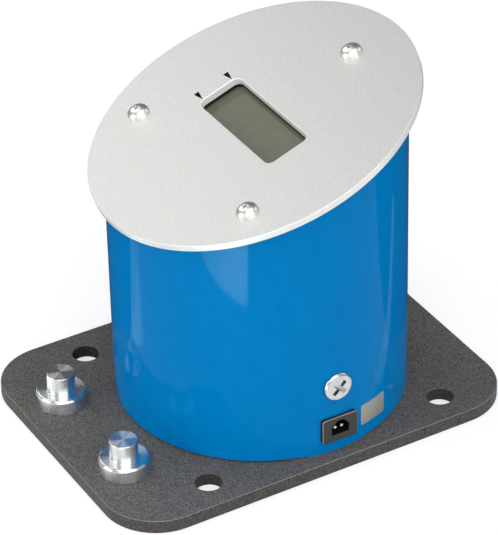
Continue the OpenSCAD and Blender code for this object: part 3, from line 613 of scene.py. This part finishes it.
# The sides, walls and chamfers are bare metal painted near white, as a highlight.
for part in face.faces:
    metal = bare_edge_and_highlight if abs(part.normal.z) < face_rise else satin_anodised
    part.material_index = metals.index(metal)
placed(face, face_place)
piece("anodised_face", face, metals, ["face_plate"])

# Two small black triangles are screen printed on the face beside the window. They are plain marks
# whose tips point into it.

# Screen ink: a dense matt black film.
screen_ink = grained("screen_ink", ("#030303", "#090909"), grain=0.4 * mm, depth=0.002 * mm,
    shader={"Roughness": 0.7, "IOR": 1.2})
ink_t = 0.03 * mm
mark_base = -32.9 * mm
mark_tip = -27.4 * mm
mark_half = 1.15 * mm
for name, middle in (("upper_mark", 7.15 * mm), ("lower_mark", -7.25 * mm)):
    mark = prism([(mark_base, middle - mark_half), (mark_tip, middle),
        (mark_base, middle + mark_half)], face_t, face_t + ink_t)
    piece(name, placed(mark, face_place), [screen_ink], [])

# Three domed screws hold the face plate to the hood's lugs. They are cold headed in stainless
# steel, with small cross recesses, and polished.

# Polished stainless steel: tumbled smooth, so that it mirrors the room softly.
polished_steel = grained("polished_steel", ("#edecea", "#f7f6f4"), grain=2 * mm, depth=0.002 * mm,
    shader={"Metallic": 1, "Roughness": 0.33})
face_head_r = 4.5 * mm
face_head_h = 2.9 * mm
for number, (x, y) in enumerate(face_screw_places):
    screw = pan_screw(face_head_r, face_head_h, flat_r=0.6 * mm, side_h=0.4 * mm,
        shank_r=2.5 * mm, shank_l=12 * mm)
    screw = cross_recess(screw, face_head_h, length=3.2 * mm, width=0.8 * mm, depth=1.2 * mm,
        turn=math.radians(30))
    placed(screw, face_place @ Matrix.Translation((x, y, face_t)))
    piece("face_screw_" + str(number + 1), screw, [polished_steel],
        ["face_screws"] if number == 0 else [])

# The display: a black bezel clamps two glasses with the liquid crystal between them, over a
# reflector, and two rubber strips press its contacts onto the board.

# Display glass: the olive grey of a reflective display that shows nothing, under clear glass.
display_glass = grained("display_glass", ("#5a5c4c", "#5f6150"), grain=3 * mm, depth=0.001 * mm,
    shader={"Roughness": 0.04, "IOR": 1.3})
# Moulded ABS: black with a light satin sheen.
black_abs = grained("black_abs", ("#0d0d0d", "#181818"), grain=0.3 * mm, depth=0.01 * mm,
    shader={"Roughness": 0.5})
# Reflector film: silvery, slightly yellow.
reflector_film = grained("reflector_film", ("#9fa294", "#b3b5a8"), grain=0.5 * mm,
    depth=0.004 * mm, shader={"Metallic": 0.8, "Roughness": 0.3})
# Striped rubber: pink silicone with thin conducting layers.
striped_rubber = grained("striped_rubber", ("#a35563", "#d58f99"), grain=0.3 * mm,
    depth=0.02 * mm, shader={"Roughness": 0.7}, stretch=(1, 30, 30))
dress("lcd_front_glass", display_glass)
dress("lcd_rear_glass", display_glass)
dress("lcd_bezel", black_abs)
dress("lcd_reflector", reflector_film)
dress("contact_strips", striped_rubber)

# The circuit board hangs behind the display on four brass spacers, and carries the processor,
# two amplifiers, the smoothing capacitors, the regulator and the plugs for the two leads.

# Drawn brass: yellow, with fine lines along the bar.
drawn_brass = grained("drawn_brass", ("#b59650", "#d9bd78"), grain=0.4 * mm, depth=0.006 * mm,
    shader={"Metallic": 1, "Roughness": 0.3})
# Moulded epoxy: black and matt, as on chips.
moulded_epoxy = grained("moulded_epoxy", ("#161618", "#232326"), grain=0.25 * mm,
    depth=0.01 * mm, shader={"Roughness": 0.6})
# Shrunk sleeve: thin glossy blue plastic film.
shrunk_sleeve = grained("shrunk_sleeve", ("#1d2c55", "#2c3d70"), grain=1 * mm, depth=0.01 * mm,
    shader={"Roughness": 0.3, "Coat Weight": 0.3})
# Natural nylon: off-white and slightly waxy.
natural_nylon = grained("natural_nylon", ("#d8d3c2", "#e8e4d6"), grain=0.5 * mm, depth=0.01 * mm,
    shader={"Roughness": 0.45})
dress("display_board", solder_resist)
dress("board_spacers", drawn_brass)
dress("board_screws", zinc_plate)
dress("smoothing_capacitors", shrunk_sleeve)
dress("lead_headers", natural_nylon)
for node in ("processor_chip", "amplifier_chips", "voltage_regulator"):
    dress(node, moulded_epoxy)

# Two leads run inside the hood to the board, the black one from the inlet and the grey one from
# the gauges. Both are stranded copper in extruded vinyl.

# Extruded vinyl: smooth and slightly waxy, in two colours.
black_vinyl = grained("black_vinyl", ("#131313", "#1f1f1f"), grain=0.6 * mm, depth=0.01 * mm,
    shader={"Roughness": 0.5})
grey_vinyl = grained("grey_vinyl", ("#7b7e81", "#919497"), grain=0.6 * mm, depth=0.01 * mm,
    shader={"Roughness": 0.5})
dress("power_lead", black_vinyl)
dress("gauge_lead", grey_vinyl)

# The tester stands on a pale studio floor. The floor is white to the camera and in reflections,
# keeps the soft shadow that the lamps give it, and is clear from below. It reaches 12 m each way.
floor_half = 12
floor_glow = 0.6
floor_drop = 0.05 * mm
floor = bpy.data.objects.new("studio_floor", bpy.data.meshes.new("studio_floor"))
sheet = bmesh.new()
bmesh.ops.create_grid(sheet, x_segments=1, y_segments=1, size=floor_half)
bmesh.ops.translate(sheet, vec=(0, 0, -floor_drop), verts=sheet.verts)
sheet.to_mesh(floor.data)
sheet.free()
bpy.context.scene.collection.objects.link(floor)
white_floor = bpy.data.materials.new("white_floor")
white_floor.use_nodes = True
white_floor.node_tree.nodes.clear()
path = add(white_floor, "ShaderNodeLightPath", output="Is Camera Ray")
seen = add(white_floor, "ShaderNodeMath", {"Value": path,
    "Value_001": path.node.outputs["Is Glossy Ray"]}, operation="MAXIMUM")
seen = add(white_floor, "ShaderNodeMath", {"Value": seen,
    "Value_001": path.node.outputs["Is Transmission Ray"]}, operation="MAXIMUM")
glow = add(white_floor, "ShaderNodeMath", {"Value": seen, "Value_001": floor_glow},
    operation="MULTIPLY")
surface = add(white_floor, "ShaderNodeBsdfPrincipled", {"Base Color": linear("#b8b8b8"),
    "Roughness": 0.9, "Specular IOR Level": 0, "Emission Color": (1, 1, 1, 1),
    "Emission Strength": glow})
below = add(white_floor, "ShaderNodeNewGeometry", output="Backfacing")
clear = add(white_floor, "ShaderNodeBsdfTransparent")
surface = add(white_floor, "ShaderNodeMixShader", {"Fac": below, "Shader": surface,
    "Shader_001": clear})
add(white_floor, "ShaderNodeOutputMaterial", {"Surface": surface})
floor.data.materials.append(white_floor)

# Plain studio light: a surround that is brighter in front, and a few soft boxes, which face the
# middle of the object.
scene = bpy.context.scene
aim = Vector((-1.361, 2.454, 59.155)) * mm
front = (0.87, -0.49, 0)
surround = bpy.data.worlds.new("pale_surround")
surround.use_nodes = True
surround.node_tree.nodes.clear()
toward = add(surround, "ShaderNodeTexCoord", output="Generated")
share = add(surround, "ShaderNodeVectorMath", {"Vector": toward, "Vector_001": front},
    output="Value", operation="DOT_PRODUCT")
share = add(surround, "ShaderNodeMapRange", {"Value": share, "From Min": -0.5, "From Max": 0.7,
    "To Min": 0.12, "To Max": 0.6})
light = add(surround, "ShaderNodeBackground", {"Color": (1, 1, 1, 1), "Strength": share})
add(surround, "ShaderNodeOutputWorld", {"Surface": light})
scene.world = surround


def bearing(azimuth, elevation):
    """The direction that an azimuth and an elevation in degrees give, from the object outwards."""
    turn = math.radians(azimuth)
    rise = math.radians(elevation)
    return Vector((math.sin(turn) * math.cos(rise), -math.cos(turn) * math.cos(rise),
        math.sin(rise)))


def area_lamp(name, size, brightness):
    """Makes a flat lamp that the camera doesn't see, with the power for its brightness."""
    lamp = bpy.data.lights.new(name, "AREA")
    lamp.shape = "RECTANGLE"
    lamp.size, lamp.size_y = size
    lamp.energy = math.pi * size[0] * size[1] * brightness
    holder = bpy.data.objects.new(name, lamp)
    holder.visible_camera = False
    scene.collection.objects.link(holder)
    return holder


def soft_box(name, azimuth, elevation, distance, size, brightness):
    """Hangs a soft box round the object and turns it to the object's middle."""
    back = bearing(azimuth, elevation)
    box = area_lamp(name, size, brightness)
    box.location = aim + back * distance
    box.rotation_euler = back.to_track_quat("Z", "Y").to_euler()


soft_box("top_box", azimuth=60, elevation=80, distance=1.3, size=(1, 1), brightness=1.6)
soft_box("left_box", azimuth=-10, elevation=20, distance=1.4, size=(0.9, 0.9), brightness=2.1)
soft_box("front_box", azimuth=76, elevation=36, distance=1.4, size=(1.7, 0.8), brightness=2.1)
soft_box("far_box", azimuth=-74, elevation=43, distance=1.4, size=(0.7, 0.9), brightness=1.9)
soft_box("back_box", azimuth=172, elevation=35, distance=1.4, size=(0.7, 0.9), brightness=1)

# Low cards of slightly green light lie round the object just over the floor and face up. Only
# glossy surfaces show them, as the pale bands on the enamel.
card_colour = "#ccfff2"
card_z = 10 * mm


def low_card(name, middle, size, turn, brightness):
    """Lays a card of light round the object, seen by glossy rays alone."""
    card = area_lamp(name, size, brightness)
    card.data.color = linear(card_colour)[:3]
    card.location = (*middle, card_z)
    card.rotation_euler = (math.pi, 0, math.radians(turn))
    card.visible_diffuse = False
    card.visible_transmission = False


low_card("narrow_card", (-0.088, -0.138), size=(0.15, 0.022), turn=-137, brightness=2.5)
wide_start = Vector((0.182, -0.144))
wide_step = Vector((-0.0163, -0.0252))
for number, brightness in enumerate((24, 24, 15, 7)):
    low_card("wide_card_" + str(number + 1), wide_start + number * wide_step,
        size=(0.14, 0.03), turn=-33, brightness=brightness)
low_card("side_card", (0.0505, 0.122), size=(0.145, 0.008), turn=100.8, brightness=1.4)

# A sheet of grey felt lies on the floor behind the object. Only glossy rays show it, so the
# enamel's sides stay deep.
grey_felt = grained("grey_felt", ("#3a3a3a", "#444444"), grain=2 * mm, depth=0.01 * mm,
    shader={"Roughness": 0.9, "Specular IOR Level": 0})
felt_size = (1.6, 0.8)
felt_z = 1 * mm
felt_turn = math.radians(60)
sheet = bmesh.new()
bmesh.ops.create_grid(sheet, x_segments=1, y_segments=1, size=0.5)
bmesh.ops.scale(sheet, vec=(*felt_size, 1), verts=sheet.verts)
felt_shift = Matrix.Translation((0, felt_size[1] / 2, felt_z))
placed(sheet, Matrix.Rotation(felt_turn, 4, "Z") @ felt_shift)
felt_mesh = bpy.data.meshes.new("felt")
sheet.to_mesh(felt_mesh)
sheet.free()
felt_mesh.materials.append(grey_felt)
felt = bpy.data.objects.new("felt", felt_mesh)
felt.visible_camera = False
felt.visible_diffuse = False
felt.visible_transmission = False
felt.visible_shadow = False
scene.collection.objects.link(felt)

# The camera stands where the photograph was taken from, with a long lens. Its picture is 498 by
# 535 pixels, and its focal length is given in those pixels.
image_h = 535
focal_px = 3200.1
camera_azimuth = 60.468
camera_elevation = 33.706
roll = math.radians(-1.406)
camera_distance = 1284.07 * mm
back = bearing(camera_azimuth, camera_elevation)
level = bearing(camera_azimuth + 90, 0)
upright = back.cross(level)
right = level * math.cos(roll) + upright * math.sin(roll)
up = upright * math.cos(roll) - level * math.sin(roll)
lens = bpy.data.cameras.new("camera")
lens.lens = focal_px * lens.sensor_width / image_h
lens.clip_end = 100
camera = bpy.data.objects.new("camera", lens)
camera.matrix_world = Matrix.Translation(aim + back * camera_distance) @ Matrix(
    (right, up, back)).transposed().to_4x4()
scene.collection.objects.link(camera)
scene.camera = camera
scene.view_settings.view_transform = "Standard"
